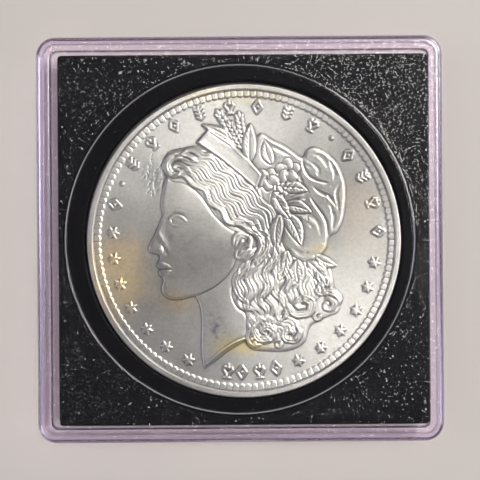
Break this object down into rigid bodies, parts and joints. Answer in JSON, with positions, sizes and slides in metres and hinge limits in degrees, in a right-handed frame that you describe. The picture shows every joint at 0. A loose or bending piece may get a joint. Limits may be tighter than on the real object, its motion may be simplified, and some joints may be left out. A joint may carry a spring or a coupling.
{
  "type": "square snap-together coin holder",
  "caption": "Square clear plastic holder whose two shells snap together round a black insert and a large silver coin, shown through a round window.",
  "frame": {"origin": "centre of the flat back face, which the holder lies on", "axes": "+Z out of the front window, +Y to the top of the coin's design, +X to the right as the front is seen"},
  "size_m": [0.049, 0.049, 0.0064],
  "materials": {
    "clear_shell": "clear crystal polystyrene, polished windows in a finely grained frame",
    "black_insert": "black moulded plastic with a fine satin surface",
    "silver": "struck silver with mint lustre and a little golden toning"
  },
  "bodies": {
    "back": {"back_shell": "clear_shell"},
    "insert": {"insert": "black_insert"},
    "coin": {"coin": "silver"},
    "front": {"front_shell": "clear_shell"}
  },
  "joints": [
    {"name": "front_lift", "type": "slide", "parent": "back", "child": "front", "axis": [0, 0, 1], "range_m": [0, 0.03]},
    {"name": "insert_lift", "type": "slide", "parent": "back", "child": "insert", "axis": [0, 0, 1], "range_m": [0, 0.01]},
    {"name": "coin_lift", "type": "slide", "parent": "insert", "child": "coin", "axis": [0, 0, 1], "range_m": [0, 0.01]}
  ],
  "couplings": [
    {"joint": "insert_lift", "follows": "front_lift", "ratio": 0.3333},
    {"joint": "coin_lift", "follows": "front_lift", "ratio": 0.3333}
  ]
}
